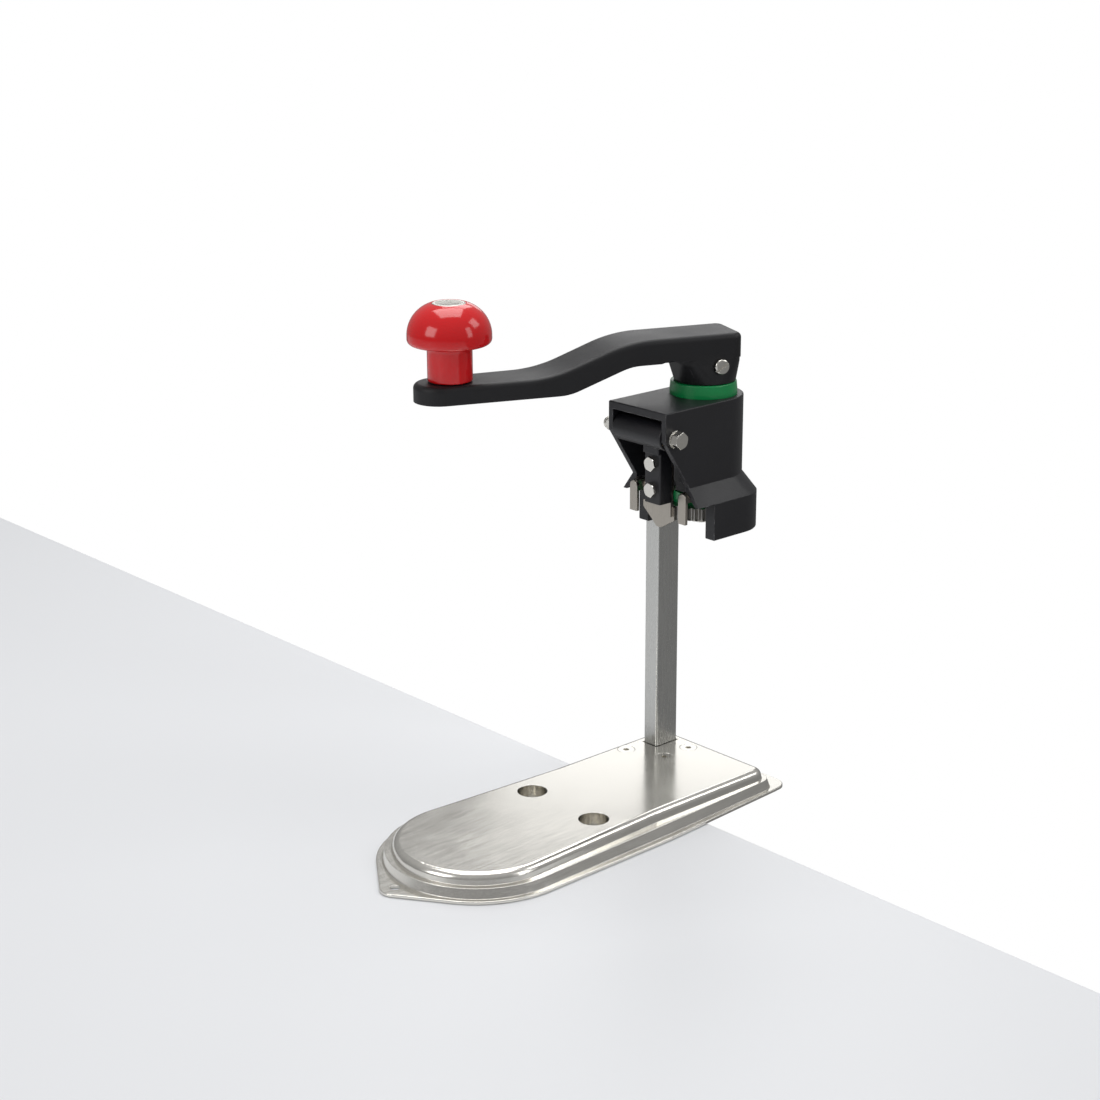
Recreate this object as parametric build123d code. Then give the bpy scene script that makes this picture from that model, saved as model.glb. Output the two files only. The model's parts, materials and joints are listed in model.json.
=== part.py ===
from build123d import *
import os
from math import acos, cos, pi, radians, sin, sqrt

# Bench-mounted can opener. +Z is up and z = 0 is the bench top. The origin lies under the middle of the
# can: +Y runs outward from the can's axis through the drive shaft, and the bar stands on the -X side.

# ---------------------------------------------------------------- driving dimensions (mm)
RIM_RADIUS = 78.5          # outer radius of the seam of a catering can
PAD_TOP = 12.0             # height of the raised plate that the can stands on
CAN_HEIGHT = 149.0
RIM_Z = PAD_TOP + CAN_HEIGHT

SHEET = 1.5                # base plate sheet thickness
BEAD_OUT = 3.9             # outer radius of the raised plate's upper edge
STEP_Z = 6.5               # height of the lower pressed step
FLANGE_R, FRONT_Y = 53.0, -57.0            # round front of the flange and the centre it is struck from
LUG_R, LUG_Y = 9.0, -110.5                 # rounded tip of the nose that takes the front screw
EAR_X, EAR_Y, EAR_SIDE, EAR_CORNER = 33.0, 114.0, 25.0, 8.5
CUP_R = 8.0                # inner radius of the two screw cups
SCREW_HOLE = 5.3           # bench screw holes in the base plate
NOSE_HOLE_Y = -112.0
PAD_HOLE_X = 24.0

BAR_X, BAR_Y = -27.8, 99.5
BAR_THICK, BAR_WIDE = 10.0, 16.0
BAR_TOP, BAR_BOTTOM = 206.0, -190.0
STOP_Z = BAR_BOTTOM + 12.0
CLAMP_Z = (181.0, 199.0)
SLEEVE_BOTTOM = -45.0
SLEEVE_WALL = 2.6
SLEEVE_LEFT, SLEEVE_REAR = -36.3, 109.9    # the sleeve's top is trimmed to these to fit inside the plate
SLEEVE_SCREWS = ((-31.5, 76.5), (-10.0, 85.0), (-10.0, 104.0))
LINER = 1.3
SLIDE_GAP = 0.12           # play between the bar and its liner, each side
LINER_OUT = SLIDE_GAP + LINER
FLANGE_UNDER = PAD_TOP - SHEET - 3.5
BRAKE_Z = -24.0
BRAKE_FACE = BAR_Y + BAR_WIDE / 2 + LINER_OUT + SLEEVE_WALL

SHAFT_Y = 101.0
SHAFT_R = 7.0
BUSH_R = 9.5
RUN_GAP = 0.05             # radial play of every turning fit

HEAD_TOP = 218.0
HEAD_FRONT = 52.5
HEAD_HALF = 21.0
HEAD_WALL = 3.0
BROW_Z = 203.5             # the side walls run straight down to here, then slant back
FLARE_TOP, FLARE_LOW = 175.5, 166.0
FLARE_FRONT = 70.0
BLOCK_HALF, BLOCK_FRONT, BLOCK_BACK = 28.0, 82.0, 125.2
BLOCK_CORNER = 18.8
BLOCK_LOW = 146.0
BOSS_SIDE, BOSS_HALF = -38.5, 12.0         # clamp boss round the top of the bar
BOSS_LOW, BOSS_TOP = 172.0, 211.0
WHEEL_ROOM_R, WHEEL_ROOM_TOP = 21.6, 168.0
GUIDE_X, GUIDE_WIDE, GUIDE_TOP, GUIDE_LOW = 18.0, 5.5, 172.4, 156.0
GUIDE_RIVET_Y, GUIDE_RIVET_Z = 76.0, 169.6

PIVOT_Y, PIVOT_Z = 58.5, 204.0
PIVOT_PIN_R = 3.0
BARREL_R, BARREL_HALF = 7.0, 17.6
BARREL_BORE = 5.5
ARM_X = 4.0                # the arm sits a little to one side of the blade
ARM_WIDE, ARM_FRONT, ARM_BACK = 11.5, 60.0, 69.0
ARM_LOW = 166.0
TANG_FRONT = ARM_BACK + 0.05
BLADE_SCREW_Z = (187.5, 173.5)
BLADE_SCREW_R = 2.0
BLADE_THICK = 2.2
BLADE_RADIUS = 73.6        # outer radius of the blade's curve, about the can's axis
TANG_HALF, TANG_CORNER = 4.5, 1.5

COLLAR_R, COLLAR_HIGH = 17.9, 7.0
WHEEL_R, WHEEL_TEETH = 20.5, 32
WHEEL_LOW, WHEEL_HIGH = 152.5, 159.5

CRANK_ANGLE = 248.3        # direction of the crank in plan at rest
CRANK_WIDE = 30.0
CRANK_BASE = HEAD_TOP + COLLAR_HIGH + 0.4
CRANK_TOP = 251.5
CRANK_END = 158.4
HUB_BACK, HUB_UNDER = 16.0, 238.6
COTTER_S, COTTER_Z = -2.9, 234.8
COTTER_R = 2.5

KNOB_S = 139.4             # reach from the shaft axis to the knob axis
KNOB_R = 21.5
KNOB_UNDER, KNOB_TOP = 255.0, 276.6
STEM_R, STEM_LOW = 11.5, 236.4
SPINDLE_R = 5.0
DISC_R = 8.6


# ---------------------------------------------------------------- small helpers
def rod(radius, low, high, x=0.0, y=0.0):
    """Upright cylinder between two heights."""
    return Pos(x, y, (low + high) / 2) * Cylinder(radius, high - low)


def tube(outer, inner, low, high, x=0.0, y=0.0):
    return rod(outer, low, high, x, y) - rod(inner, low - 1, high + 1, x, y)


def block(x0, x1, y0, y1, z0, z1):
    return Pos((x0 + x1) / 2, (y0 + y1) / 2, (z0 + z1) / 2) * Box(x1 - x0, y1 - y0, z1 - z0)


def rod_x(radius, x0, x1, y, z):
    """Cylinder lying along X."""
    return Pos((x0 + x1) / 2, y, z) * Rot(0, 90, 0) * Cylinder(radius, abs(x1 - x0))


def rod_y(radius, y0, y1, x, z):
    """Cylinder lying along Y."""
    return Pos(x, (y0 + y1) / 2, z) * Rot(90, 0, 0) * Cylinder(radius, y1 - y0)


def hexagon(across_flats, low, high, x=0.0, y=0.0):
    sketch = RegularPolygon(across_flats / sqrt(3), 6)
    return Pos(x, y, low) * extrude(sketch, high - low)


def hex_blank(across_flats, high):
    """Hexagon standing on z = 0 whose lower corners are chamfered, for a bolt head or nut."""
    blank = extrude(RegularPolygon(across_flats / sqrt(3), 6), high)
    low_r = across_flats / 2 + 0.1
    return blank & Pos(0, 0, high / 2) * Cone(low_r, low_r + high * 1.73, high)


def prism_x(points, half):
    """Solid of a (y, z) outline, symmetric about x = 0."""
    return extrude(Plane.YZ * make_face(Polyline(*points, close=True)), half, both=True)


def soften(shape, edges, radius):
    """Fillet that leaves the shape as it is where the edges are too tight for it."""
    try:
        return fillet(edges, radius)
    except Exception:
        return shape


def crank_place(shape):
    """From the crank's own frame (arm along +X from the shaft axis) to its rest position."""
    return Pos(0, SHAFT_Y, 0) * Rot(0, 0, CRANK_ANGLE) * shape


# ---------------------------------------------------------------- base plate
def plate_outline(front_r, mid, rear, back, corner, z):
    """Outline of one level of the plate: round front, sides that taper slightly, straight back."""
    waist_y = 30.0
    half = [(front_r, FRONT_Y), (mid, waist_y), (rear, back)]
    side = half + [(-x, y) for x, y in reversed(half)]
    lines = Polyline(*side)
    nose = ThreePointArc((-front_r, FRONT_Y), (0, FRONT_Y - front_r), (front_r, FRONT_Y))
    face = make_face(lines + nose)
    corners = [v for v in face.vertices() if v.Y > back - 1]
    face = fillet(corners, corner)
    return Pos(0, 0, z) * face


def pressed(grow, drop):
    """The two raised steps of the plate; grow and drop offset them for the sheet's inner side."""
    low = [plate_outline(50.5 + grow, 48.5 + grow, 43.5 + grow, 118.0 + grow, 7.5, 0.4 - drop),
           plate_outline(48.6 + grow, 45.5 + grow, 41.8 + grow, 116.4 + grow, 7.0, STEP_Z - drop)]
    high = [plate_outline(45.4 + grow, 41.0 + grow, 40.4 + grow, 114.6 + grow, 7.0, 5.4 - drop),
            plate_outline(43.8 + grow, 38.8 + grow, 39.2 + grow, 113.4 + grow, 6.5, PAD_TOP - drop)]
    return loft(low) + loft(high)


def level_edges(shape, z):
    spans = [(e, e.bounding_box()) for e in shape.edges()]
    return [e for e, box in spans if abs(box.min.Z - z) < 0.02 and abs(box.max.Z - z) < 0.02]


def base_plate():
    flange = plate_outline(FLANGE_R, 51.5, 45.5, 119.5, 4.0, 0).faces()[0]
    lean = acos((FLANGE_R - LUG_R) / (FRONT_Y - LUG_Y))
    wide_x, wide_y = FLANGE_R * sin(lean), FRONT_Y - FLANGE_R * cos(lean)
    tip_x, tip_y = LUG_R * sin(lean), LUG_Y - LUG_R * cos(lean)
    nose = [(wide_x, wide_y), (tip_x, tip_y), (-tip_x, tip_y), (-wide_x, wide_y)]
    flange += make_face(Polyline(*nose, close=True))
    flange += Pos(0, LUG_Y) * Circle(LUG_R)
    for side in (-1, 1):
        flange += Pos(side * EAR_X, EAR_Y) * RectangleRounded(EAR_SIDE, EAR_SIDE, EAR_CORNER)
    plate = extrude(flange, SHEET)
    plate = soften(plate, plate.edges().group_by(Axis.Z)[-1], 0.5)
    plate += pressed(0, 0)
    plate -= Pos(0, 0, -20) * extrude(flange, 20)
    plate = soften(plate, level_edges(plate, PAD_TOP), BEAD_OUT)
    plate = soften(plate, level_edges(plate, STEP_Z), 1.6)
    hollow = pressed(-SHEET, SHEET)
    hollow = soften(hollow, level_edges(hollow, PAD_TOP - SHEET), BEAD_OUT - SHEET)
    opening = plate_outline(50.5 - SHEET, 48.5 - SHEET, 43.5 - SHEET, 116.5, 6.0, 0)
    plate -= hollow + Pos(0, 0, -5) * extrude(opening, 5.02)
    for x in (-PAD_HOLE_X, PAD_HOLE_X):
        plate += rod(CUP_R + SHEET, 0, PAD_TOP - SHEET + 0.2, x)
        plate -= rod(CUP_R, SHEET, PAD_TOP + 1, x)
        plate -= rod(SCREW_HOLE / 2, -1, 5, x)
    plate -= rod(SCREW_HOLE / 2, -1, 5, 0, NOSE_HOLE_Y)
    plate -= block(BAR_X - BAR_THICK / 2 - 0.6, BAR_X + BAR_THICK / 2 + 0.6,
                   BAR_Y - BAR_WIDE / 2 - 0.6, BAR_Y + BAR_WIDE / 2 + 0.6, 5, 20)
    for x, y in SLEEVE_SCREWS:
        plate -= rod(2.6, 5, 20, x, y) + countersink(x, y)
    return plate


def countersink(x, y):
    return Pos(x, y, PAD_TOP - 1.2) * Cone(2.6, 5.0, 2.41)


def sleeve_section(extra, low, high):
    """Upright block round the bar, larger than it by extra on every side."""
    return block(BAR_X - BAR_THICK / 2 - extra, BAR_X + BAR_THICK / 2 + extra,
                 BAR_Y - BAR_WIDE / 2 - extra, BAR_Y + BAR_WIDE / 2 + extra, low, high)


def bar_sleeve():
    wall = sleeve_section(LINER_OUT + SLEEVE_WALL, SLEEVE_BOTTOM, PAD_TOP - SHEET)
    wall = soften(wall, wall.edges().filter_by(Axis.Z), 2.0)
    top = block(SLEEVE_LEFT, -3.0, 70.0, SLEEVE_REAR, FLANGE_UNDER, PAD_TOP - SHEET)
    top = soften(top, top.edges().filter_by(Axis.Z), 7.0)
    boss = rod_y(7.0, BRAKE_FACE - 3, BRAKE_FACE + 9, BAR_X, BRAKE_Z)
    wall -= block(-60, SLEEVE_LEFT, 60, 130, 0, 20) + block(-60, 0, SLEEVE_REAR, 130, 0, 20)
    sleeve = wall + top + boss
    sleeve -= sleeve_section(LINER_OUT, SLEEVE_BOTTOM - 1, PAD_TOP)
    sleeve -= rod_y(4.0, BRAKE_FACE - 6, BRAKE_FACE + 12, BAR_X, BRAKE_Z)
    for x, y in SLEEVE_SCREWS:
        sleeve -= rod(2.6, 0, 20, x, y) + countersink(x, y)
    return sleeve


def sleeve_liner():
    liner = sleeve_section(LINER_OUT, SLEEVE_BOTTOM + 2, PAD_TOP - SHEET - 0.2)
    liner -= sleeve_section(SLIDE_GAP, SLEEVE_BOTTOM, PAD_TOP)
    return liner - rod_y(4.0, BAR_Y + BAR_WIDE / 2 - 1, BRAKE_FACE, BAR_X, BRAKE_Z)


def brake_plug():
    return rod_y(3.9, BAR_Y + BAR_WIDE / 2 + SLIDE_GAP, BRAKE_FACE - 0.6, BAR_X, BRAKE_Z)


def brake_spring():
    turns, wire, start, end = 4, 0.9, BRAKE_FACE - 0.1, BRAKE_FACE + 4.6
    helix = Helix((end - start) / turns, end - start, 2.9)
    coil = sweep(Plane(helix @ 0, z_dir=helix % 0) * Circle(wire / 2), path=helix)
    return Pos(BAR_X, start, BRAKE_Z) * Rot(-90, 0, 0) * coil


def brake_screw():
    start, end = BRAKE_FACE + 5.2, BRAKE_FACE + 16.0
    head = rod_y(7.5, BRAKE_FACE + 10, end, BAR_X, BRAKE_Z)
    head = soften(head, head.edges(), 0.8)
    for step in range(16):
        a = 2 * pi * step / 16
        head -= rod_y(0.7, BRAKE_FACE + 9, end + 1, BAR_X + 7.7 * cos(a), BRAKE_Z + 7.7 * sin(a))
    head -= block(BAR_X - 9, BAR_X + 9, end - 1.5, end + 1, BRAKE_Z - 0.7, BRAKE_Z + 0.7)
    return head + rod_y(3.9, start, BRAKE_FACE + 10.5, BAR_X, BRAKE_Z)


def sleeve_screws():
    group = []
    for x, y in SLEEVE_SCREWS:
        screw = Pos(x, y, PAD_TOP - 1.3) * Cone(2.5, 4.8, 2.4)
        screw += rod(2.5, -1.5, PAD_TOP - 2.4, x, y)
        screw -= hexagon(3.0, PAD_TOP - 1.8, PAD_TOP + 1, x, y)
        group.append(screw)
    return group


def sleeve_nuts():
    group = []
    for x, y in SLEEVE_SCREWS:
        nut = hexagon(8.0, FLANGE_UNDER - 4.0, FLANGE_UNDER, x, y)
        nut &= Pos(x, y, FLANGE_UNDER - 2.0) * Cylinder(4.45, 4.0)
        group.append(nut - rod(2.5, -10, 20, x, y))
    return group


# ---------------------------------------------------------------- bar
def main_bar():
    bar = sleeve_section(0, BAR_BOTTOM, BAR_TOP)
    bar = soften(bar, bar.edges().filter_by(Axis.Z), 1.0)
    for z in CLAMP_Z:
        bar -= rod_x(3.0, BAR_X - 10, BAR_X + 3.0, BAR_Y, z)
    return bar - rod_x(2.5, BAR_X - 10, BAR_X + 10, BAR_Y, STOP_Z)


def bar_stop_pin():
    pin = rod_x(2.5, BAR_X - 11, BAR_X + 11, BAR_Y, STOP_Z)
    return soften(pin, pin.edges(), 0.5)


def bar_end_cap():
    cap = sleeve_section(1.5, BAR_BOTTOM - 2.0, BAR_BOTTOM + 7.0)
    cap = soften(cap, cap.edges().filter_by(Axis.Z), 2.0)
    return cap - sleeve_section(0, BAR_BOTTOM, BAR_BOTTOM + 20)


def bar_clamp_screws():
    group = []
    for z in CLAMP_Z:
        head = rod_x(5.0, BOSS_SIDE - 5.0, BOSS_SIDE, BAR_Y, z)
        head = soften(head, head.faces().sort_by(Axis.X)[0].edges(), 0.7)
        socket = Pos(BOSS_SIDE - 5.1, BAR_Y, z) * Rot(0, 90, 0) * hexagon(5.0, 0, 2.8)
        group.append(head - socket + rod_x(3.0, BOSS_SIDE - 0.5, BAR_X + 2.9, BAR_Y, z))
    return group


# ---------------------------------------------------------------- head
def head_outline(half, front, back, corner, z):
    """Plan outline with a straight front edge and round back corners."""
    face = make_face(Polyline((half, front), (half, back), (-half, back), (-half, front), close=True))
    corners = [v for v in face.vertices() if v.Y > back - 1]
    return Pos(0, 0, z) * fillet(corners, corner)


def head_housing():
    back = SHAFT_Y + HEAD_HALF
    plan = head_outline(HEAD_HALF, HEAD_FRONT, back, HEAD_HALF - 0.4, FLARE_LOW)
    upper = extrude(plan, HEAD_TOP - FLARE_LOW)
    upper = soften(upper, upper.edges().group_by(Axis.Z)[-1], 0.7)
    flare = loft([head_outline(BLOCK_HALF, FLARE_FRONT, BLOCK_BACK, BLOCK_CORNER, FLARE_LOW),
                  head_outline(HEAD_HALF, FLARE_FRONT, back, HEAD_HALF - 0.4, FLARE_TOP)])
    plan = head_outline(BLOCK_HALF, BLOCK_FRONT, BLOCK_BACK, BLOCK_CORNER, BLOCK_LOW)
    guard = extrude(plan, FLARE_LOW - BLOCK_LOW)
    guard = soften(guard, guard.edges().group_by(Axis.Z)[0], 0.8)
    boss = block(BOSS_SIDE, -15, BAR_Y - BOSS_HALF, BAR_Y + BOSS_HALF, BOSS_LOW, BOSS_TOP)
    boss = soften(boss, boss.edges().group_by(Axis.X)[0], 2.5)
    body = upper + flare + guard + boss
    body -= prism_x([(30, BROW_Z), (HEAD_FRONT - 0.5, BROW_Z), (FLARE_FRONT, FLARE_TOP + 0.5),
                     (FLARE_FRONT, 130), (30, 130)], 26)
    inner = HEAD_HALF - HEAD_WALL
    body -= block(-inner, inner, 40, 79, 130, HEAD_TOP - 4)
    wide, low = 25.6, FLARE_LOW - 0.1
    skirt = Polyline((-wide, low), (wide, low), (inner, 174), (-inner, 174), close=True)
    body -= Pos(0, BLOCK_FRONT, 0) * extrude(Plane.XZ * make_face(skirt), 20)
    body -= rod(WHEEL_ROOM_R, 130, WHEEL_ROOM_TOP, 0, SHAFT_Y)
    body -= block(-WHEEL_ROOM_R, WHEEL_ROOM_R, 60, SHAFT_Y, 130, WHEEL_ROOM_TOP)
    body -= rod(BUSH_R, WHEEL_ROOM_TOP - 1, HEAD_TOP + 1, 0, SHAFT_Y)
    body -= rod_x(PIVOT_PIN_R, -30, 30, PIVOT_Y, PIVOT_Z)
    body -= sleeve_section(0, BLOCK_LOW - 1, BAR_TOP)
    for z in CLAMP_Z:
        body -= rod_x(3.0, BOSS_SIDE - 1, BAR_X, BAR_Y, z)
    for side in (-1, 1):
        body -= rod_x(1.5, side * 15, side * 22.5, GUIDE_RIVET_Y, GUIDE_RIVET_Z)
    return body


def collar_ring():
    straight = 2.0
    taper = COLLAR_HIGH - straight
    ring = rod(COLLAR_R, HEAD_TOP, HEAD_TOP + straight, 0, SHAFT_Y)
    ring += Pos(0, SHAFT_Y, HEAD_TOP + straight + taper / 2) * Cone(COLLAR_R, COLLAR_R - 0.5, taper)
    ring = soften(ring, ring.edges().group_by(Axis.Z)[-1], 0.6)
    return ring - rod(12.0, HEAD_TOP - 1, HEAD_TOP + 20, 0, SHAFT_Y)


def shaft_bush(low, high, flange_low, flange_high):
    bush = rod(BUSH_R, low, high, 0, SHAFT_Y) + rod(12.0, flange_low, flange_high, 0, SHAFT_Y)
    return bush - rod(SHAFT_R + RUN_GAP, low - 5, high + 5, 0, SHAFT_Y)


def upper_bush():
    return shaft_bush(HEAD_TOP - 14, HEAD_TOP + 1, HEAD_TOP, HEAD_TOP + 2)


def lower_bush():
    return shaft_bush(WHEEL_ROOM_TOP - 1, WHEEL_ROOM_TOP + 13, WHEEL_ROOM_TOP - 2, WHEEL_ROOM_TOP)


def rim_guides():
    group = []
    for side in (-1, 1):
        strip = block(GUIDE_X - GUIDE_WIDE / 2, GUIDE_X + GUIDE_WIDE / 2, 67.6, 69.6,
                      GUIDE_LOW, GUIDE_TOP - GUIDE_WIDE / 2)
        strip += rod_y(GUIDE_WIDE / 2, 67.6, 69.6, GUIDE_X, GUIDE_TOP - GUIDE_WIDE / 2)
        strip = soften(strip, strip.edges().filter_by(GeomType.CIRCLE), 0.4)
        leg = block(16.2, 17.9, 68.6, 79.0, 166.5, 172.4)
        guide = strip + leg - rod_x(1.5, 10, 20, GUIDE_RIVET_Y, GUIDE_RIVET_Z)
        group.append(guide if side > 0 else mirror(guide, Plane.YZ))
    return group


def guide_rivets():
    group = []
    for side in (-1, 1):
        rivet = rod_x(1.5, 14.9, 22.4, GUIDE_RIVET_Y, GUIDE_RIVET_Z)
        head = rod_x(2.6, 14.8, 16.2, GUIDE_RIVET_Y, GUIDE_RIVET_Z)
        rivet += soften(head, head.edges().group_by(Axis.X)[0], 0.9)
        group.append(rivet if side > 0 else mirror(rivet, Plane.YZ))
    return group


# ---------------------------------------------------------------- blade carrier
def pivot_bolt():
    shank = rod_x(PIVOT_PIN_R, -28.5, 22, PIVOT_Y, PIVOT_Z)
    shank = soften(shank, shank.edges().group_by(Axis.X)[0], 0.6)
    collar = rod_x(4.6, HEAD_HALF, HEAD_HALF + 1.4, PIVOT_Y, PIVOT_Z)
    head = Rot(0, -90, 0) * Rot(0, 0, 12) * hex_blank(8.0, 4.8)
    return shank + collar + Pos(HEAD_HALF + 6.0, PIVOT_Y, PIVOT_Z) * head


def pivot_nut():
    nut = Pos(-HEAD_HALF - 4.0, PIVOT_Y, PIVOT_Z) * Rot(0, 90, 0) * hex_blank(8.0, 4.0)
    return nut - rod_x(PIVOT_PIN_R, -30, 0, PIVOT_Y, PIVOT_Z)


def blade_carrier():
    barrel = rod_x(BARREL_R, -BARREL_HALF, BARREL_HALF, PIVOT_Y, PIVOT_Z)
    barrel = soften(barrel, barrel.edges(), 0.6)
    half = ARM_WIDE / 2
    arm = block(ARM_X - half, ARM_X + half, ARM_FRONT, ARM_BACK, ARM_LOW, PIVOT_Z)
    arm += block(ARM_X - half, ARM_X + half, PIVOT_Y, ARM_BACK - 2, PIVOT_Z - 11, PIVOT_Z + 4)
    arm = soften(arm, arm.edges().filter_by(Axis.Z), 0.8)
    carrier = barrel + arm - rod_x(BARREL_BORE, -BARREL_HALF - 1, BARREL_HALF + 1, PIVOT_Y, PIVOT_Z)
    for z in BLADE_SCREW_Z:
        carrier -= rod_y(BLADE_SCREW_R, ARM_FRONT - 1, ARM_BACK + 1, ARM_X, z)
    return carrier


def carrier_bushes():
    group = []
    for side in (-1, 1):
        bush = rod_x(BARREL_BORE, side * 9.6, side * BARREL_HALF, PIVOT_Y, PIVOT_Z)
        group.append(bush - rod_x(PIVOT_PIN_R + RUN_GAP, side * 8, side * 20, PIVOT_Y, PIVOT_Z))
    return group


def carrier_spring():
    turns, wire, length = 9, 1.1, 15.0
    helix = Helix(length / turns, length, 4.5)
    coil = sweep(Plane(helix @ 0, z_dir=helix % 0) * Circle(wire / 2), path=helix)
    return Pos(-length / 2, PIVOT_Y, PIVOT_Z) * Rot(0, 90, 0) * coil


def blade():
    """Curved cutter that follows the inside of the seam, with a flat tang behind the carrier arm."""
    low, high, left, right = 149.5, 162.6, -13.0, 9.5
    ring = rod(BLADE_RADIUS, low, high) - rod(BLADE_RADIUS - BLADE_THICK, low - 1, high + 1)
    outline = Polyline((left, high + 1), (left, low + 9.5), (left + 9.0, low), (left + 12.0, low),
                       (right, low + 6.0), (right, high + 1), close=True)
    cutter = ring & (Pos(0, 90, 0) * extrude(Plane.XZ * make_face(outline), 60))
    tang_left, tang_right = ARM_X - TANG_HALF, ARM_X + TANG_HALF
    tang = block(tang_left, tang_right, TANG_FRONT, TANG_FRONT + BLADE_THICK, 158, 192)
    tang = soften(tang, tang.edges().filter_by(Axis.Y), TANG_CORNER)
    cutter += block(tang_left, tang_right, TANG_FRONT, BLADE_RADIUS - 0.7, 157.5, high)
    piece = cutter + tang
    for z in BLADE_SCREW_Z:
        piece -= rod_y(BLADE_SCREW_R, ARM_BACK - 2, ARM_BACK + 8, ARM_X, z)
    return piece


def blade_screws():
    group = []
    for z in BLADE_SCREW_Z:
        head = Pos(ARM_X, ARM_FRONT - 2.6, z) * Rot(-90, 0, 0) * Rot(0, 0, 14) * hex_blank(7.0, 2.6)
        group.append(head + rod_y(BLADE_SCREW_R, ARM_FRONT - 1, ARM_BACK + BLADE_THICK + 3.4, ARM_X, z))
    return group


def blade_nuts():
    group = []
    for z in BLADE_SCREW_Z:
        start = TANG_FRONT + BLADE_THICK
        nut = Pos(ARM_X, start + 2.6, z) * Rot(90, 0, 0) * hex_blank(7.0, 2.6)
        group.append(nut - rod_y(BLADE_SCREW_R, start - 2, start + 5, ARM_X, z))
    return group


# ---------------------------------------------------------------- drive
def drive_shaft():
    shaft = rod(SHAFT_R, WHEEL_HIGH, 245, 0, SHAFT_Y)
    shaft = soften(shaft, shaft.edges().group_by(Axis.Z)[-1], 0.8)
    shaft += block(-4.8, 4.8, SHAFT_Y - 4.8, SHAFT_Y + 4.8, WHEEL_LOW, WHEEL_HIGH)
    shaft -= rod(2.5, WHEEL_LOW - 3, WHEEL_HIGH, 0, SHAFT_Y)
    groove = Pos(COTTER_S, 0, COTTER_Z) * Rot(90, 0, 0) * Cylinder(COTTER_R, 40)
    return shaft - crank_place(groove)


def drive_wheel():
    points, root = [], WHEEL_R - 1.7
    for tooth in range(WHEEL_TEETH):
        a = 2 * pi * tooth / WHEEL_TEETH
        half = pi / WHEEL_TEETH
        for radius, turn in ((WHEEL_R, -0.12), (WHEEL_R, 0.12), (root, 0.9), (root, 1.1)):
            points.append((radius * cos(a + turn * half), radius * sin(a + turn * half)))
    gear = extrude(make_face(Polyline(*points, close=True)), WHEEL_HIGH - WHEEL_LOW)
    trimmed = rod(WHEEL_R, 1, WHEEL_HIGH - WHEEL_LOW) + Pos(0, 0, 0.5) * Cone(WHEEL_R - 1, WHEEL_R, 1.0)
    wheel = Pos(0, SHAFT_Y, WHEEL_LOW) * (gear & trimmed)
    wheel -= tube(12.5, 9.5, WHEEL_HIGH - 1.0, WHEEL_HIGH + 1, 0, SHAFT_Y)
    return wheel - block(-4.8, 4.8, SHAFT_Y - 4.8, SHAFT_Y + 4.8, WHEEL_LOW - 1, WHEEL_HIGH + 1)


def wheel_spacer():
    return tube(15.5, SHAFT_R, WHEEL_HIGH, WHEEL_ROOM_TOP - 2.4, 0, SHAFT_Y)


def wheel_washer():
    return tube(8.0, 2.5, WHEEL_LOW - 1.4, WHEEL_LOW, 0, SHAFT_Y)


def wheel_screw():
    low = WHEEL_LOW - 1.4
    head = Pos(0, SHAFT_Y, low - 3.6) * hex_blank(8.0, 3.6)
    return head + rod(2.5, low - 1, WHEEL_HIGH - 1.2, 0, SHAFT_Y)


# ---------------------------------------------------------------- crank, in its own frame: arm along +X
def crank_side():
    """Side outline of the hub and arm: level at the hub, an easy slope, then level to the knob."""
    tip_top, tip_under = (CRANK_END, 235.9), (CRANK_END, 226.4)
    back_top, back_under = (-HUB_BACK, CRANK_TOP), (-HUB_BACK, HUB_UNDER)
    front_under = (12, HUB_UNDER)
    top = FilletPolyline(back_top, (47.3, CRANK_TOP), (89.8, 236.1), tip_top, radius=75)
    under = FilletPolyline(tip_under, (80.3, 226.4), (46.8, HUB_UNDER), front_under, radius=30)
    ends = Line(tip_top, tip_under) + Line(front_under, back_under) + Line(back_under, back_top)
    return extrude(Plane.XZ * make_face(top + under + ends), 30, both=True)


def crank_plan():
    half, tip = CRANK_WIDE / 2, 13.4
    path = Polyline((-HUB_BACK, half), (40, half), (CRANK_END - tip, tip))
    arc = ThreePointArc((CRANK_END - tip, tip), (CRANK_END, 0), (CRANK_END - tip, -tip))
    back = Polyline((CRANK_END - tip, -tip), (40, -half), (-HUB_BACK, -half), (-HUB_BACK, half))
    face = make_face(path + arc + back)
    corners = [v for v in face.vertices() if v.X < 1 - HUB_BACK]
    return extrude(Pos(0, 0, 200) * fillet(corners, 5.0), 80)


def crank_arm():
    arm = crank_side() & crank_plan()
    upper_faces = arm.faces().filter_by(lambda face: face.normal_at().Z > 0.5)
    arm = soften(arm, upper_faces.edges().filter_by(lambda edge: edge.length > 2), 2.8)
    foot = loft([Pos(-0.7, 0, CRANK_BASE) * RectangleRounded(32.4, 32.8, 16.1),
                 Pos(0.4, 0, 236) * RectangleRounded(33.6, 30.4, 8.0),
                 Pos(0.4, 0, 240) * RectangleRounded(32.6, 30.0, 6.0)], ruled=True)
    hub = arm + foot
    for side in (-1, 1):
        recess = Pos(25.0, side * 21.0, 225.0) * Rot(90, 0, 0) * Cylinder(14.5, 16.0)
        hub -= recess - rod(13.6, 200, 260)
    hub -= rod(SHAFT_R, 200, 245.2)
    hub -= Pos(COTTER_S, 0, COTTER_Z) * Rot(90, 0, 0) * Cylinder(COTTER_R, 60)
    hub -= Pos(COTTER_S, CRANK_WIDE / 2 + 5, COTTER_Z) * Rot(90, 0, 0) * Cylinder(4.3, 10)
    hub -= rod(SPINDLE_R - 1, 220, 240, KNOB_S)
    return crank_place(hub)


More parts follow.
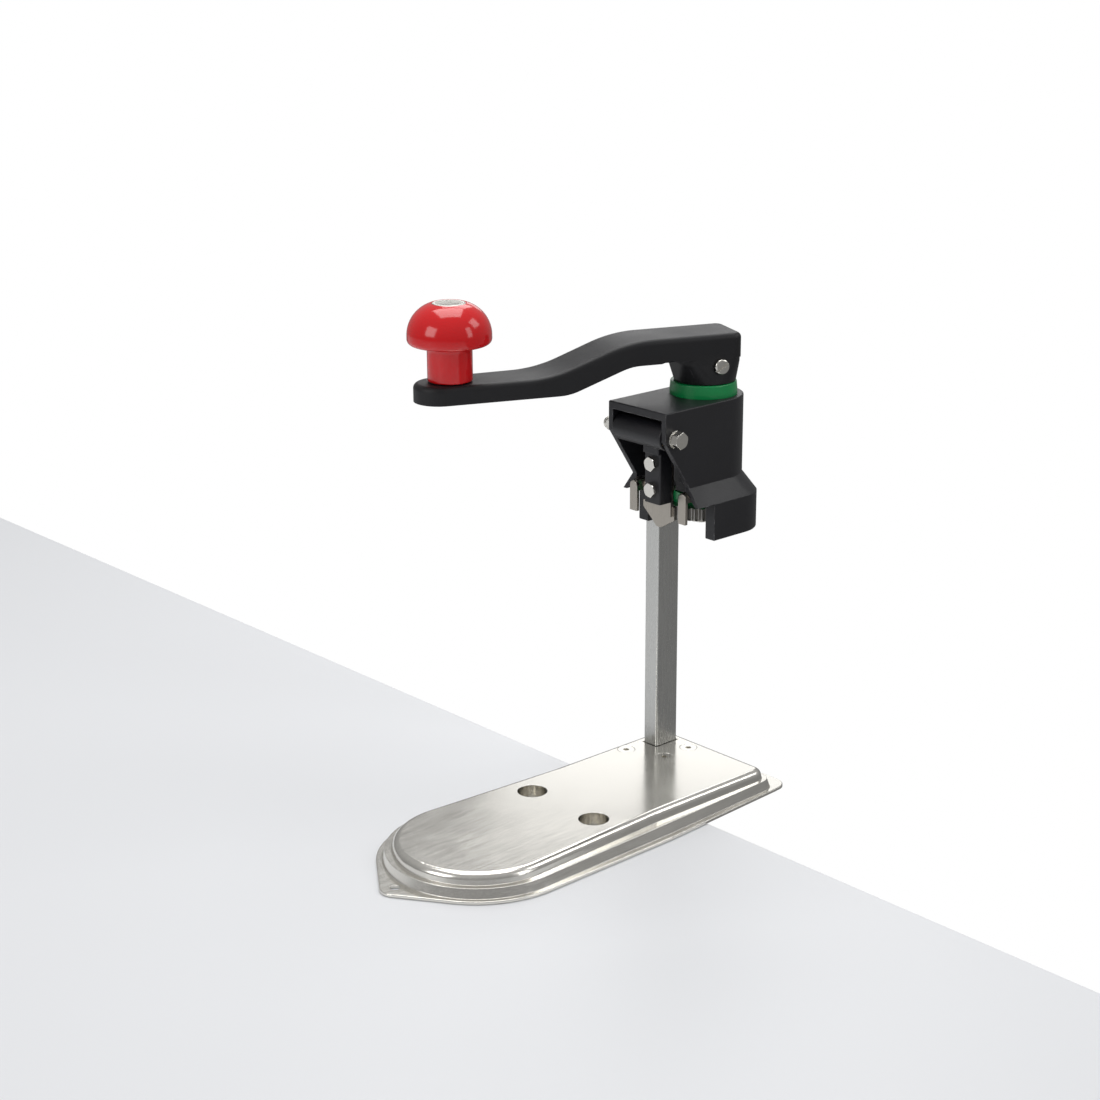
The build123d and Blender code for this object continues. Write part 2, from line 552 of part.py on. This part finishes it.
def crank_cotter():
    """Slotted cotter bolt across the hub; it lies in a groove in the side of the shaft."""
    side = CRANK_WIDE / 2
    bolt = Pos(COTTER_S, 0, COTTER_Z) * Rot(90, 0, 0) * Cylinder(COTTER_R, 2 * side + 0.4)
    head = Pos(COTTER_S, side + 1.3, COTTER_Z) * Rot(90, 0, 0) * Cylinder(4.0, 2.6)
    head = soften(head, head.edges().group_by(Axis.Y)[-1], 0.8)
    slot = Pos(COTTER_S, side + 2.6, COTTER_Z) * Rot(0, 35, 0) * Box(12, 2.2, 1.2)
    return crank_place(bolt + head - slot)


def knob_spindle():
    pin = rod(SPINDLE_R, 236.1, 268.0) + rod(SPINDLE_R - 1, 227.5, 236.5) + rod(3.0, 267.0, 272.6)
    return crank_place(Pos(KNOB_S, 0, 0) * soften(pin, pin.edges().group_by(Axis.Z)[-1], 0.5))


def knob_washer():
    return crank_place(tube(7.0, 3.0, 268.0, 269.0, KNOB_S))


def knob_nut():
    nut = hexagon(9.0, 269.0, 272.2, KNOB_S)
    return crank_place(nut - rod(3.0, 260, 280, KNOB_S))


# ---------------------------------------------------------------- knob
def ring_edges(shape, radius, z):
    return [e for e in shape.edges() if e.geom_type == GeomType.CIRCLE
            and abs(e.radius - radius) < 0.01 and abs(e.center().Z - z) < 0.01]


def knob():
    dome_r = 17.0
    dome_x, dome_z = KNOB_R - dome_r, KNOB_TOP - dome_r
    rise = sqrt(dome_r ** 2 - (DISC_R + 0.4 - dome_x) ** 2)
    rim = (DISC_R + 0.4, dome_z + rise)
    lean = radians(40)
    on_dome = (dome_x + dome_r * cos(lean), dome_z + dome_r * sin(lean))
    seat = KNOB_TOP - 2.8
    side = Polyline((0, STEM_LOW), (STEM_R, STEM_LOW), (STEM_R, KNOB_UNDER),
                    (KNOB_R, KNOB_UNDER), (KNOB_R, dome_z))
    dome = ThreePointArc((KNOB_R, dome_z), on_dome, rim)
    top = Polyline(rim, (DISC_R, rim[1] - 0.2), (DISC_R, seat), (0, seat), (0, STEM_LOW))
    body = revolve(Plane.XZ * make_face(side + dome + top), Axis.Z)
    rounded = ((KNOB_R, KNOB_UNDER, 3.0), (STEM_R, KNOB_UNDER, 3.5), (STEM_R, STEM_LOW, 0.8))
    for radius, z, round_over in rounded:
        body = soften(body, ring_edges(body, radius, z), round_over)
    body -= rod(SPINDLE_R + RUN_GAP, 200, 300)
    body -= rod(7.9, 268.0 - 0.4, 300)
    return crank_place(Pos(KNOB_S, 0, 0) * body)


def knob_disc():
    disc = rod(DISC_R, KNOB_TOP - 2.8, KNOB_TOP - 0.7)
    disc = soften(disc, disc.edges().group_by(Axis.Z)[-1], 0.4)
    return crank_place(Pos(KNOB_S, 0, 0) * disc)


# ---------------------------------------------------------------- write every piece
PIECES = (
    base_plate, bar_sleeve, sleeve_liner, sleeve_screws, sleeve_nuts, brake_plug, brake_spring, brake_screw,
    main_bar, bar_stop_pin, bar_end_cap, bar_clamp_screws,
    head_housing, collar_ring, upper_bush, lower_bush, rim_guides, guide_rivets, pivot_bolt, pivot_nut,
    blade_carrier, carrier_bushes, carrier_spring, blade, blade_screws, blade_nuts,
    drive_shaft, drive_wheel, wheel_spacer, wheel_washer, wheel_screw,
    crank_arm, crank_cotter, knob_spindle, knob_washer, knob_nut, knob, knob_disc)

os.makedirs("parts", exist_ok=True)
for make in PIECES:
    piece = make()
    solids = [s for item in (piece if isinstance(piece, list) else [piece]) for s in item.solids()]
    shape = Compound(children=solids) if len(solids) > 1 else solids[0]
    export_step(shape, f"parts/{make.__name__}.step")
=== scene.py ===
import json
from math import cos, degrees, pi, radians, sin

import bmesh
import bpy
from mathutils import Matrix, Vector


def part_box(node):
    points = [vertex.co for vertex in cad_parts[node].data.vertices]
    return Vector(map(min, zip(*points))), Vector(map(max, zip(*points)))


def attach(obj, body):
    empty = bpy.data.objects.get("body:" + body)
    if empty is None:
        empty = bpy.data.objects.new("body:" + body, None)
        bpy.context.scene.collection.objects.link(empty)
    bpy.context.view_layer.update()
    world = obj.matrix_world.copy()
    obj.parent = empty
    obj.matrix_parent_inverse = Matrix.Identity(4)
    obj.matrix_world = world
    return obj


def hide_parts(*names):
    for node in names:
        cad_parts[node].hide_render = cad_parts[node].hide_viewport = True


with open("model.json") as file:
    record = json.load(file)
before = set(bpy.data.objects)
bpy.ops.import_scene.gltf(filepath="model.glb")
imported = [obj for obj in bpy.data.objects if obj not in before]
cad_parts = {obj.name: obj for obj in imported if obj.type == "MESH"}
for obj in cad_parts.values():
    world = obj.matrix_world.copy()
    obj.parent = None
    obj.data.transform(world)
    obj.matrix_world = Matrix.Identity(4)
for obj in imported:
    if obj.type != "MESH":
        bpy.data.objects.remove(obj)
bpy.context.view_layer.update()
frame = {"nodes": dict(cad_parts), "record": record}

# ---------------------------------------------------------------- camera
CAMERA_AT = Vector((0.7873, -0.7118, 0.4907))
HEADING, PITCH, ROLL = radians(48.2), radians(17.67), radians(-0.31)
LENS, SENSOR = 72.0, 36.0

camera = bpy.data.objects.new("camera", bpy.data.cameras.new("camera"))
bpy.context.scene.collection.objects.link(camera)
bpy.context.scene.camera = camera
camera.data.lens, camera.data.sensor_width = LENS, SENSOR
camera.data.clip_start, camera.data.clip_end = 0.05, 20.0
camera.matrix_world = (Matrix.Translation(CAMERA_AT) @ Matrix.Rotation(HEADING, 4, "Z")
                       @ Matrix.Rotation(pi / 2 - PITCH, 4, "X") @ Matrix.Rotation(ROLL, 4, "Z"))

# ---------------------------------------------------------------- stage and light
BENCH_EDGE, BENCH_DROP = 0.060, 0.0003     # far edge along Y, and how far the top lies below z = 0
BENCH_SIZE = (3.6, 2.4, 0.045)


def link(name, mesh):
    piece = bpy.data.objects.new(name, mesh)
    bpy.context.scene.collection.objects.link(piece)
    return piece


def bench():
    """Bench top as a thick slab; its far edge passes under the plate, in front of the bar."""
    slab = bmesh.new()
    bmesh.ops.create_cube(slab, size=1.0)
    bmesh.ops.scale(slab, vec=BENCH_SIZE, verts=slab.verts)
    middle = (0, BENCH_EDGE - BENCH_SIZE[1] / 2, -BENCH_SIZE[2] / 2 - BENCH_DROP)
    bmesh.ops.translate(slab, vec=middle, verts=slab.verts)
    bmesh.ops.bevel(slab, geom=slab.edges, offset=0.0015, segments=3, affect="EDGES")
    mesh = bpy.data.meshes.new("bench")
    slab.to_mesh(mesh)
    slab.free()
    return link("bench", mesh)


def area_light(name, spot, aim, size, power):
    data = bpy.data.lights.new(name, "AREA")
    data.shape, data.size, data.size_y = "RECTANGLE", size[0], size[1]
    data.energy = power
    lamp = link(name, data)
    lamp.location = spot
    lamp.rotation_euler = (Vector(aim) - Vector(spot)).to_track_quat("-Z", "Y").to_euler()


area_light("light_top", (-0.25, 0.15, 1.4), (0, 0, 0.1), (0.9, 0.9), 9)
area_light("light_left", (-0.15, -1.5, 0.85), (0, 0, 0.15), (0.8, 0.8), 6)
area_light("light_right", (1.5, 0.5, 0.8), (0, 0.05, 0.15), (0.4, 0.9), 2.5)
area_light("light_back", (-0.9, 0.9, 1.25), (0, 0.05, 0.15), (0.7, 0.7), 4)
area_light("light_facet", (0.75, 1.0, 1.15), (0, 0.08, 0.18), (0.6, 0.6), 3)
area_light("light_far", (-1.2, 1.35, 0.62), (0, 0.1, 0.0), (0.6, 0.4), 0.9)
bpy.context.scene.view_settings.view_transform = "Standard"


RANGE = ("From Min", "From Max", "To Min", "To Max")


def studio(low, high):
    """White backdrop; the room's own light grows from low at the horizon to high overhead."""
    world = bpy.data.worlds.new("studio")
    bpy.context.scene.world = world
    world.use_nodes = True
    nodes, join = world.node_tree.nodes, world.node_tree.links.new
    room, backdrop = nodes["Background"], nodes.new("ShaderNodeBackground")
    place, split = nodes.new("ShaderNodeTexCoord"), nodes.new("ShaderNodeSeparateXYZ")
    fade, rays, choose = (nodes.new("ShaderNode" + kind) for kind in ("MapRange", "LightPath", "MixShader"))
    for socket, number in zip(RANGE, (-0.1, 1.0, low, high)):
        fade.inputs[socket].default_value = number
    room.inputs["Color"].default_value = backdrop.inputs["Color"].default_value = (1, 1, 1, 1)
    join(place.outputs["Generated"], split.inputs[0])
    join(split.outputs["Z"], fade.inputs["Value"])
    join(fade.outputs["Result"], room.inputs["Strength"])
    join(rays.outputs["Is Camera Ray"], choose.inputs[0])
    join(room.outputs[0], choose.inputs[1])
    join(backdrop.outputs[0], choose.inputs[2])
    join(choose.outputs[0], nodes["World Output"].inputs["Surface"])


studio(0.24, 0.5)


# ---------------------------------------------------------------- materials
class Finish:
    """A Principled material built up from procedural layers in the piece's own coordinates."""

    def __init__(self, name, color, rough, metal=0.0, **sockets):
        self.material = bpy.data.materials.new(name)
        self.material.use_nodes = True
        self.tree = self.material.node_tree
        self.shader = self.tree.nodes["Principled BSDF"]
        self.color = color
        self.set("Base Color", (*color, 1))
        self.set("Roughness", rough)
        self.set("Metallic", metal)
        for socket, value in sockets.items():
            self.set(socket.replace("_", " "), value)
        self.where = self.tree.nodes.new("ShaderNodeTexCoord").outputs["Object"]

    def set(self, socket, value):
        self.shader.inputs[socket].default_value = value

    def link(self, a, b):
        self.tree.links.new(a, b)

    def stretched(self, scale):
        place = self.tree.nodes.new("ShaderNodeMapping")
        place.inputs["Scale"].default_value = scale
        self.link(self.where, place.inputs["Vector"])
        return place.outputs[0]

    def noise(self, scale, detail=3.0, stretch=(1, 1, 1)):
        """Noise from 0 to 1; scale counts features in a metre."""
        grain = self.tree.nodes.new("ShaderNodeTexNoise")
        grain.inputs["Scale"].default_value = scale
        grain.inputs["Detail"].default_value = detail
        self.link(self.stretched(stretch), grain.inputs["Vector"])
        return grain.outputs["Fac"]

    def remap(self, value, low, high, to_low=0.0, to_high=1.0):
        fit = self.tree.nodes.new("ShaderNodeMapRange")
        for socket, number in zip(RANGE, (low, high, to_low, to_high)):
            fit.inputs[socket].default_value = number
        self.link(value, fit.inputs["Value"])
        return fit.outputs["Result"]

    def math(self, kind, a, b):
        step = self.tree.nodes.new("ShaderNodeMath")
        step.operation = kind
        for socket, value in zip(step.inputs, (a, b)):
            if isinstance(value, (int, float)):
                socket.default_value = value
            else:
                self.link(value, socket)
        return step.outputs[0]

    def mix(self, amount, a, b):
        blend = self.tree.nodes.new("ShaderNodeMix")
        blend.data_type = "RGBA"
        self.link(amount, blend.inputs["Factor"])
        for socket, value in ((blend.inputs[6], a), (blend.inputs[7], b)):
            if isinstance(value, tuple):
                socket.default_value = (*value, 1)
            else:
                self.link(value, socket)
        return blend.outputs[2]

    def rounded(self, radius):
        """Normal of the piece with its edges rounded off."""
        soft = self.tree.nodes.new("ShaderNodeBevel")
        soft.samples = 6
        soft.inputs["Radius"].default_value = radius
        return soft.outputs[0]

    def edge(self, radius):
        """1 on the piece's outer edges, 0 on its faces."""
        flat = self.tree.nodes.new("ShaderNodeNewGeometry")
        dot = self.tree.nodes.new("ShaderNodeVectorMath")
        dot.operation = "DOT_PRODUCT"
        self.link(self.rounded(radius), dot.inputs[0])
        self.link(flat.outputs["Normal"], dot.inputs[1])
        return self.remap(self.math("SUBTRACT", 1.0, dot.outputs["Value"]), 0.015, 0.35)

    def tone(self, fac, dark, light):
        """Base colour that wanders between two multiples of itself."""
        low, high = (tuple(min(1.0, c * k) for c in self.color) for k in (dark, light))
        out = self.mix(fac, low, high)
        self.link(out, self.shader.inputs["Base Color"])
        return out

    def gloss(self, fac, low, high):
        """Roughness that wanders between low and high."""
        self.link(self.remap(fac, 0.25, 0.75, low, high), self.shader.inputs["Roughness"])

    def bump(self, fac, depth, edge_radius=0.0):
        """Relief of depth metres, over edges rounded by edge_radius."""
        relief = self.tree.nodes.new("ShaderNodeBump")
        relief.inputs["Distance"].default_value = depth
        relief.inputs["Strength"].default_value = 1.0
        self.link(fac, relief.inputs["Height"])
        if edge_radius:
            self.link(self.rounded(edge_radius), relief.inputs["Normal"])
        self.link(relief.outputs[0], self.shader.inputs["Normal"])


def coated(name, color, rough, grain, depth, edge_radius, edge_highlight, **sockets):
    """Sprayed or moulded skin: fine grain, slow mottling and a painted highlight on the edges, broken into
    patches by noise.
    """
    f = Finish(name, color, rough, **sockets)
    fine, slow = f.noise(grain, 2.0), f.noise(38.0, 4.0)
    f.gloss(slow, rough * 0.88, rough * 1.14)
    body = f.tone(slow, 0.82, 1.2)
    # Painted highlight: the edges are lifted towards a lighter colour in noisy patches.
    highlight_mask = f.math("MULTIPLY", f.edge(edge_radius * 1.6), f.remap(f.noise(240.0, 4.0), 0.4, 0.72))
    f.link(f.mix(highlight_mask, body, edge_highlight), f.shader.inputs["Base Color"])
    f.bump(fine, depth, edge_radius)
    return f.material


def ground(name, color, rough, stretch, depth, edge_radius, scale):
    """Metal with grinding lines along one way, faint stains and a painted highlight along the edges."""
    f = Finish(name, color, rough, 1.0)
    lines, stain = f.noise(scale, 5.0, stretch), f.noise(55.0, 5.0)
    both = f.math("ADD", f.math("MULTIPLY", lines, 0.6), f.math("MULTIPLY", stain, 0.4))
    f.gloss(both, rough * 0.72, rough * 1.35)
    body = f.tone(both, 0.86, 1.1)
    # Painted highlight: the edges are mixed towards a lighter copy of the colour.
    bright = tuple(min(1.0, c * 1.18) for c in color)
    f.link(f.mix(f.edge(edge_radius * 1.5), body, bright), f.shader.inputs["Base Color"])
    f.bump(lines, depth, edge_radius)
    return f.material


def moulded(name, color, rough, edge_radius, coat):
    """Plastic: clean colour, very faint flow marks and a soft skin."""
    f = Finish(name, color, rough, Coat_Weight=coat, Coat_Roughness=0.06, IOR=1.49)
    flow, specks = f.noise(24.0, 3.0), f.noise(900.0, 1.0)
    f.tone(flow, 0.9, 1.08)
    f.gloss(flow, rough * 0.85, rough * 1.2)
    f.bump(f.math("ADD", flow, f.math("MULTIPLY", specks, 0.06)), 0.00002, edge_radius)
    return f.material


ALONG_X, ALONG_Y, ALONG_Z = (0.06, 1, 1), (1, 0.06, 1), (1, 1, 0.06)
ACROSS_Z, EVEN = (0.06, 0.06, 1), (1, 1, 1)
CASTING_BLACK = (0.010, 0.010, 0.0125)
# Lighter edge colours for coated(): painted edge highlights.
EDGE_HIGHLIGHT_MID, EDGE_HIGHLIGHT_BRIGHT = (0.20, 0.20, 0.20), (0.34, 0.34, 0.35)
EDGE_HIGHLIGHT_DIM, EDGE_HIGHLIGHT_FAINT = (0.12, 0.12, 0.13), (0.05, 0.05, 0.05)
FINISHES = {
    "black_paint": coated("black_paint", CASTING_BLACK, 0.42, 1500.0, 0.00007, 0.0004, EDGE_HIGHLIGHT_BRIGHT),
    "carrier_paint": coated("carrier_paint", CASTING_BLACK, 0.40, 1300.0, 0.00005, 0.0004, EDGE_HIGHLIGHT_MID),
    "sleeve_paint": coated("sleeve_paint", (0.016, 0.016, 0.018), 0.48, 1100.0, 0.00007, 0.0005, EDGE_HIGHLIGHT_MID),
    "crank_coating": coated("crank_coating", (0.009, 0.009, 0.0105), 0.46, 1900.0, 0.00004, 0.0006, EDGE_HIGHLIGHT_DIM,
                            Specular_IOR_Level=0.36),
    "pressed_steel": ground("pressed_steel", (0.80, 0.78, 0.73), 0.18, ALONG_Y, 0.000006, 0.0004, 900.0),
    "bright_fastener": ground("bright_fastener", (0.76, 0.74, 0.69), 0.13, EVEN, 0.00001, 0.0002, 700.0),
    "spring_steel": ground("spring_steel", (0.36, 0.36, 0.37), 0.32, ALONG_Z, 0.00001, 0.0001, 900.0),
    "bar_steel": ground("bar_steel", (0.58, 0.58, 0.56), 0.27, ALONG_Z, 0.000008, 0.0003, 1300.0),
    "blade_steel": ground("blade_steel", (0.43, 0.40, 0.355), 0.30, ALONG_Z, 0.00001, 0.0002, 900.0),
    "shaft_steel": ground("shaft_steel", (0.52, 0.52, 0.51), 0.24, ACROSS_Z, 0.00001, 0.0002, 900.0),
    "wheel_steel": ground("wheel_steel", (0.34, 0.33, 0.31), 0.34, (1, 1, 0.1), 0.00002, 0.0002, 600.0),
    "bush_bronze": ground("bush_bronze", (0.46, 0.30, 0.14), 0.38, EVEN, 0.00002, 0.0002, 1200.0),
    "disc_aluminium": ground("disc_aluminium", (0.66, 0.65, 0.60), 0.30, ALONG_X, 0.00001, 0.0002, 900.0),
    "green_plastic": moulded("green_plastic", (0.001, 0.27, 0.07), 0.30, 0.0004, 0.15),
    "red_plastic": moulded("red_plastic", (0.66, 0.003, 0.006), 0.13, 0.0, 0.3),
    "liner_plastic": moulded("liner_plastic", (0.66, 0.64, 0.57), 0.42, 0.0003, 0.0),
    "black_rubber": coated("black_rubber", (0.02, 0.02, 0.02), 0.72, 900.0, 0.00008, 0.0004, EDGE_HIGHLIGHT_FAINT),
}


def painted(piece, slot):
    piece.data.materials.clear()
    piece.data.materials.append(FINISHES[slot])
    return piece


for part in frame["record"]["subparts"]:
    painted(frame["nodes"][part["node"]], part["material_slot"])

# ---------------------------------------------------------------- new pieces
ring_ink = Finish("ring_ink", (0.86, 0.86, 0.84), 0.45)
ring_ink.tone(ring_ink.noise(900.0), 0.9, 1.0)


def arc(centre, radius, start, end, steps):
    """Points of a circular arc in (radius, height), angles in degrees."""
    turns = [radians(start + (end - start) * k / steps) for k in range(steps + 1)]
    return [(centre[0] + radius * cos(a), centre[1] + radius * sin(a)) for a in turns]


def lathe(name, profile, axis, body, slot, sides=160):
    """Turns a (radius, height) profile round an upright axis; a zero radius closes the end."""
    mesh, rings = bmesh.new(), []
    for radius, height in profile:
        count = 1 if radius < 1e-7 else sides
        ring = []
        for k in range(count):
            a = 2 * pi * k / sides
            ring.append(mesh.verts.new((axis[0] + radius * cos(a), axis[1] + radius * sin(a), height)))
        rings.append(ring)
    for low, high in zip(rings, rings[1:]):
        for k in range(sides):
            corners = (low[k % len(low)], low[(k + 1) % len(low)],
                       high[(k + 1) % len(high)], high[k % len(high)])
            mesh.faces.new(list(dict.fromkeys(corners)))
    return finished(name, mesh, body, slot)


def finished(name, mesh, body, slot):
    """Smooth-shaded piece of a body, with creases left sharp."""
    bmesh.ops.recalc_face_normals(mesh, faces=mesh.faces)
    for face in mesh.faces:
        face.smooth = True
    for edge in mesh.edges:
        edge.smooth = len(edge.link_faces) < 2 or edge.calc_face_angle() < radians(32)
    data = bpy.data.meshes.new(name)
    mesh.to_mesh(data)
    mesh.free()
    piece = painted(link(name, data), slot)
    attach(piece, body)
    return piece


def thread(name, radius, pitch, start, way, length, body, depth=0.00022):
    """Ridge of a screw thread that winds along way from start, tapering off at both ends."""
    way = Vector(way).normalized()
    side = way.orthogonal().normalized()
    other, mesh, last = way.cross(side), bmesh.new(), None
    steps, run_out, sunk, least = 28, 8, 0.00005, 0.00001
    total = length / pitch * steps
    for k in range(int(total) + 1):
        a = 2 * pi * k / steps
        out, at = side * cos(a) + other * sin(a), Vector(start) + way * (pitch * k / steps)
        crest = radius + max(least, depth * min(1.0, k / run_out, (total - k) / run_out + 0.01))
        section = ((radius - sunk, -0.38), (crest, -0.06), (crest, 0.06), (radius - sunk, 0.38))
        now = [mesh.verts.new(at + out * r + way * (pitch * shift)) for r, shift in section]
        if last:
            for i in range(4):
                mesh.faces.new((last[i], last[(i + 1) % 4], now[(i + 1) % 4], now[i]))
        else:
            mesh.faces.new(now)
        last = now
    mesh.faces.new(last)
    finished(name, mesh, body, "bright_fastener")


def knob_shell():
    """Turned knob: short stem, round underside and a dome cut flat round the disc; returns its axis."""
    low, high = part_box("knob")
    disc_low, disc_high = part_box("knob_disc")
    axis = ((disc_low.x + disc_high.x) / 2, (disc_low.y + disc_high.y) / 2)
    cap_r, disc_r = (high.x - low.x) / 2, (disc_high.x - disc_low.x) / 2
    stem_r, under, dome_r = 0.0115, low.z + 0.0186, 0.017
    bore_r, nut_room_r, nut_seat, disc_wall = 0.00505, 0.0079, 0.2676, disc_r + 0.0001
    foot_round, neck_round, rim_round = 0.0008, 0.0035, 0.003
    centre = (cap_r - dome_r, high.z + 0.0005 - dome_r)
    lip = disc_r + 0.0005
    lip_turn = 90 - degrees((lip - centre[0]) / dome_r)
    profile = [(bore_r, low.z), (0.0075, low.z)]
    profile += arc((stem_r - foot_round, low.z + foot_round), foot_round, -90, 0, 6)
    profile += [(stem_r, under - 0.009)]
    profile += arc((stem_r + neck_round, under - neck_round), neck_round, 180, 90, 12)
    profile += arc((cap_r - rim_round, under + rim_round), rim_round, -90, 0, 12)
    profile += arc(centre, dome_r, 4, lip_turn, 40)
    profile += [(disc_wall, profile[-1][1] - 0.0004), (disc_wall, disc_low.z), (nut_room_r, disc_low.z)]
    profile += [(nut_room_r, nut_seat), (bore_r, nut_seat), (bore_r, low.z)]
    piece = lathe("knob_shell", profile, axis, "grip", "red_plastic")
    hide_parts("knob")
    return axis


def disc_face(axis):
    """Spun disc with a shallow dish, fine turning grooves and a plain printed ring."""
    low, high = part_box("knob_disc")
    outer, top = (high.x - low.x) / 2, high.z
    edge_round, grooves, groove_deep, dish_deep = 0.0004, 26, 0.00004, 0.00025
    profile = [(0, low.z), (outer, low.z)]
    profile += arc((outer - edge_round, top - edge_round), edge_round, 0, 90, 5)
    for k in range(grooves):
        radius = (outer - 0.0007) * (1 - k / grooves)
        profile.append((radius, top - groove_deep * (k % 2) - dish_deep * (1 - (radius / outer) ** 2)))
    profile.append((0, top - dish_deep))
    piece = lathe("disc_face", profile, axis, "grip", "disc_aluminium")
    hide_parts("knob_disc")
    ring_r, half, ring_low, ring_top = outer * 0.86, 0.00028, top - 0.00026, top - 0.00002
    ring = [(ring_r - half, ring_low), (ring_r + half, ring_low), (ring_r + half, ring_top),
            (ring_r - half, ring_top), (ring_r - half, ring_low)]
    ink = lathe("disc_ring", ring, axis, "grip", "disc_aluminium")
    ink.data.materials.clear()
    ink.data.materials.append(ring_ink.material)


disc_face(knob_shell())


def solids(node):
    """Lowest and highest corner of each separate solid of a CAD node."""
    mesh = bmesh.new()
    mesh.from_mesh(frame["nodes"][node].data)
    bmesh.ops.remove_doubles(mesh, verts=mesh.verts, dist=1e-6)
    left, boxes = set(mesh.verts), []
    while left:
        queue = [left.pop()]
        island = list(queue)
        while queue:
            for edge in queue.pop().link_edges:
                for vert in edge.verts:
                    if vert in left:
                        left.discard(vert)
                        island.append(vert)
                        queue.append(vert)
        boxes.append([Vector([pick(vert.co[axis] for vert in island) for axis in range(3)])
                      for pick in (min, max)])
    mesh.free()
    return sorted(boxes, key=lambda box: tuple(box[0]))


bolt_low, bolt_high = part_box("pivot_bolt")
bolt_axis = ((bolt_low.y + bolt_high.y) / 2, (bolt_low.z + bolt_high.z) / 2)
nut_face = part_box("pivot_nut")[0].x
thread("pivot_thread", 0.003, 0.0005, (bolt_low.x + 0.0004, *bolt_axis), (1, 0, 0),
       nut_face - bolt_low.x - 0.0006, "head", depth=0.00012)

nut_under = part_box("sleeve_nuts")[0].z
for number, (low, high) in enumerate(solids("sleeve_screws")):
    foot = ((low.x + high.x) / 2, (low.y + high.y) / 2, low.z + 0.0004)
    thread(f"sleeve_thread_{number}", 0.0025, 0.0008, foot, (0, 0, 1), nut_under - low.z - 0.0006, "base")

floor = bench()
laminate = Finish("bench_laminate", (0.77, 0.78, 0.80), 0.42)
laminate.tone(laminate.noise(3.0, 4.0), 0.985, 1.01)
laminate.bump(laminate.noise(700.0, 2.0), 0.00001)
floor.data.materials.append(laminate.material)
